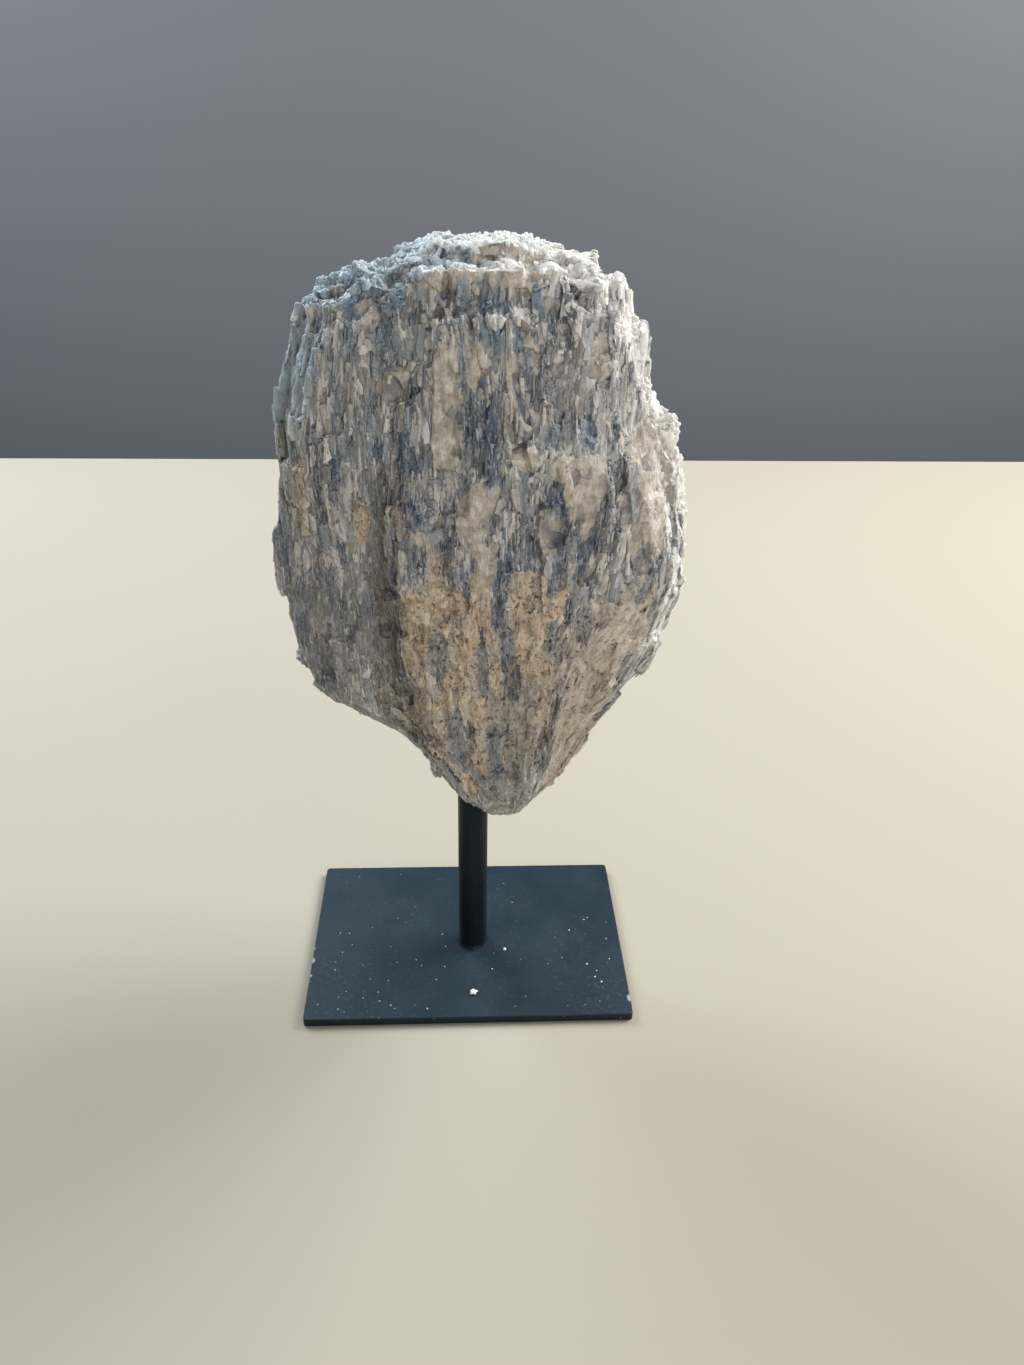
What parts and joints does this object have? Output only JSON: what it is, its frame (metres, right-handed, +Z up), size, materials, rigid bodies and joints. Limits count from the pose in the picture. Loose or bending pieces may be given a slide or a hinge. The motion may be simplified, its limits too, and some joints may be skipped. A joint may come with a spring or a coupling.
{
  "type": "raw kyanite specimen on a stand",
  "caption": "Rough block of kyanite blades grown through quartz, held upright on a round black post over a flat rectangular base plate.",
  "frame": {"origin": "centre of the base plate's underside", "axes": "+Z up along the post, +X to the right along the plate's long side, -Y towards the front of the stone"},
  "size_m": [0.1238, 0.08, 0.2422],
  "materials": {
    "stand_black": "satin black paint, dusty, chipped at the plate's edges",
    "kyanite_stone": "rough bladed crystal, grey-beige quartz with blue-grey kyanite and orange iron stain"
  },
  "bodies": {
    "root": {"base_plate": "stand_black", "post": "stand_black", "raw_kyanite": "kyanite_stone"}
  },
  "joints": []
}
